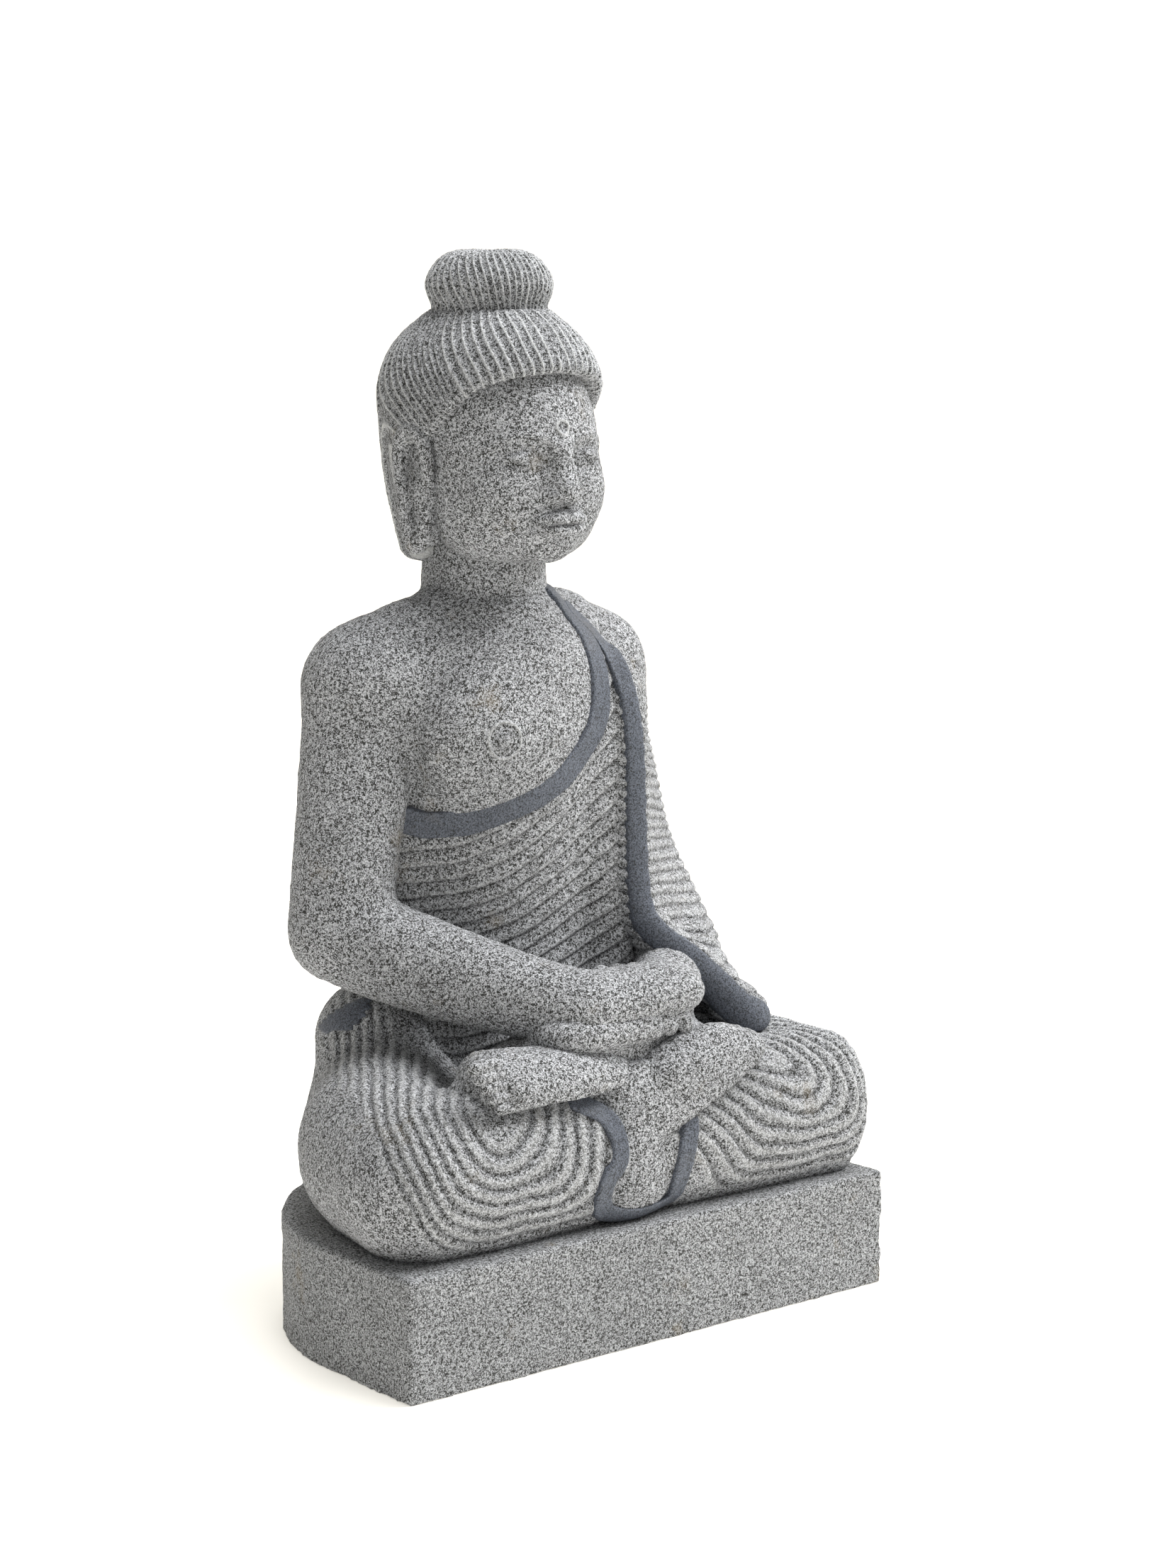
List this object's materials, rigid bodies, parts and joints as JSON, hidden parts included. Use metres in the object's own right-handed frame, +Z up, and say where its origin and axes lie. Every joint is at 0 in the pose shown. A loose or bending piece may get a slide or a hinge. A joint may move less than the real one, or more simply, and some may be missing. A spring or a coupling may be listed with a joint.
{
  "type": "seated buddha statue",
  "caption": "Carved granite buddha seated cross-legged in meditation on a low plinth, hands in the lap, pleated robe over one shoulder, hair in a bun.",
  "frame": {"origin": "centre of the plinth's underside, on the floor", "axes": "+Z up, the figure faces -Y, the figure's own right side is -X"},
  "size_m": [0.4376, 0.29, 0.762],
  "materials": {
    "granite": "bush-hammered light grey granite with fine dark speckle",
    "plinth_granite": "sawn and dressed grey granite with fine dark speckle",
    "polished_hem": "rubbed smooth, darker blue-grey granite"
  },
  "bodies": {
    "root": {"plinth": "plinth_granite", "hips": "granite", "lap": "granite", "right_thigh": "granite", "left_thigh": "granite", "right_shin": "granite", "left_shin": "granite", "left_foot": "granite", "right_foot": "granite", "front_drape": "granite", "drape_hem": "polished_hem", "torso": "granite", "chest_hem": "polished_hem", "breast_boss": "granite", "right_shoulder": "granite", "right_upper_arm": "granite", "right_forearm": "granite", "right_hand": "granite", "left_shoulder": "granite", "left_sleeve": "granite", "sleeve_flap": "granite", "left_forearm": "granite", "left_hand": "granite", "sleeve_hem": "polished_hem", "hip_hem": "polished_hem", "neck": "granite", "head": "granite", "right_ear": "granite", "left_ear": "granite", "urna": "granite", "hair_cap": "granite", "back_hair": "granite", "topknot": "granite"}
  },
  "joints": []
}
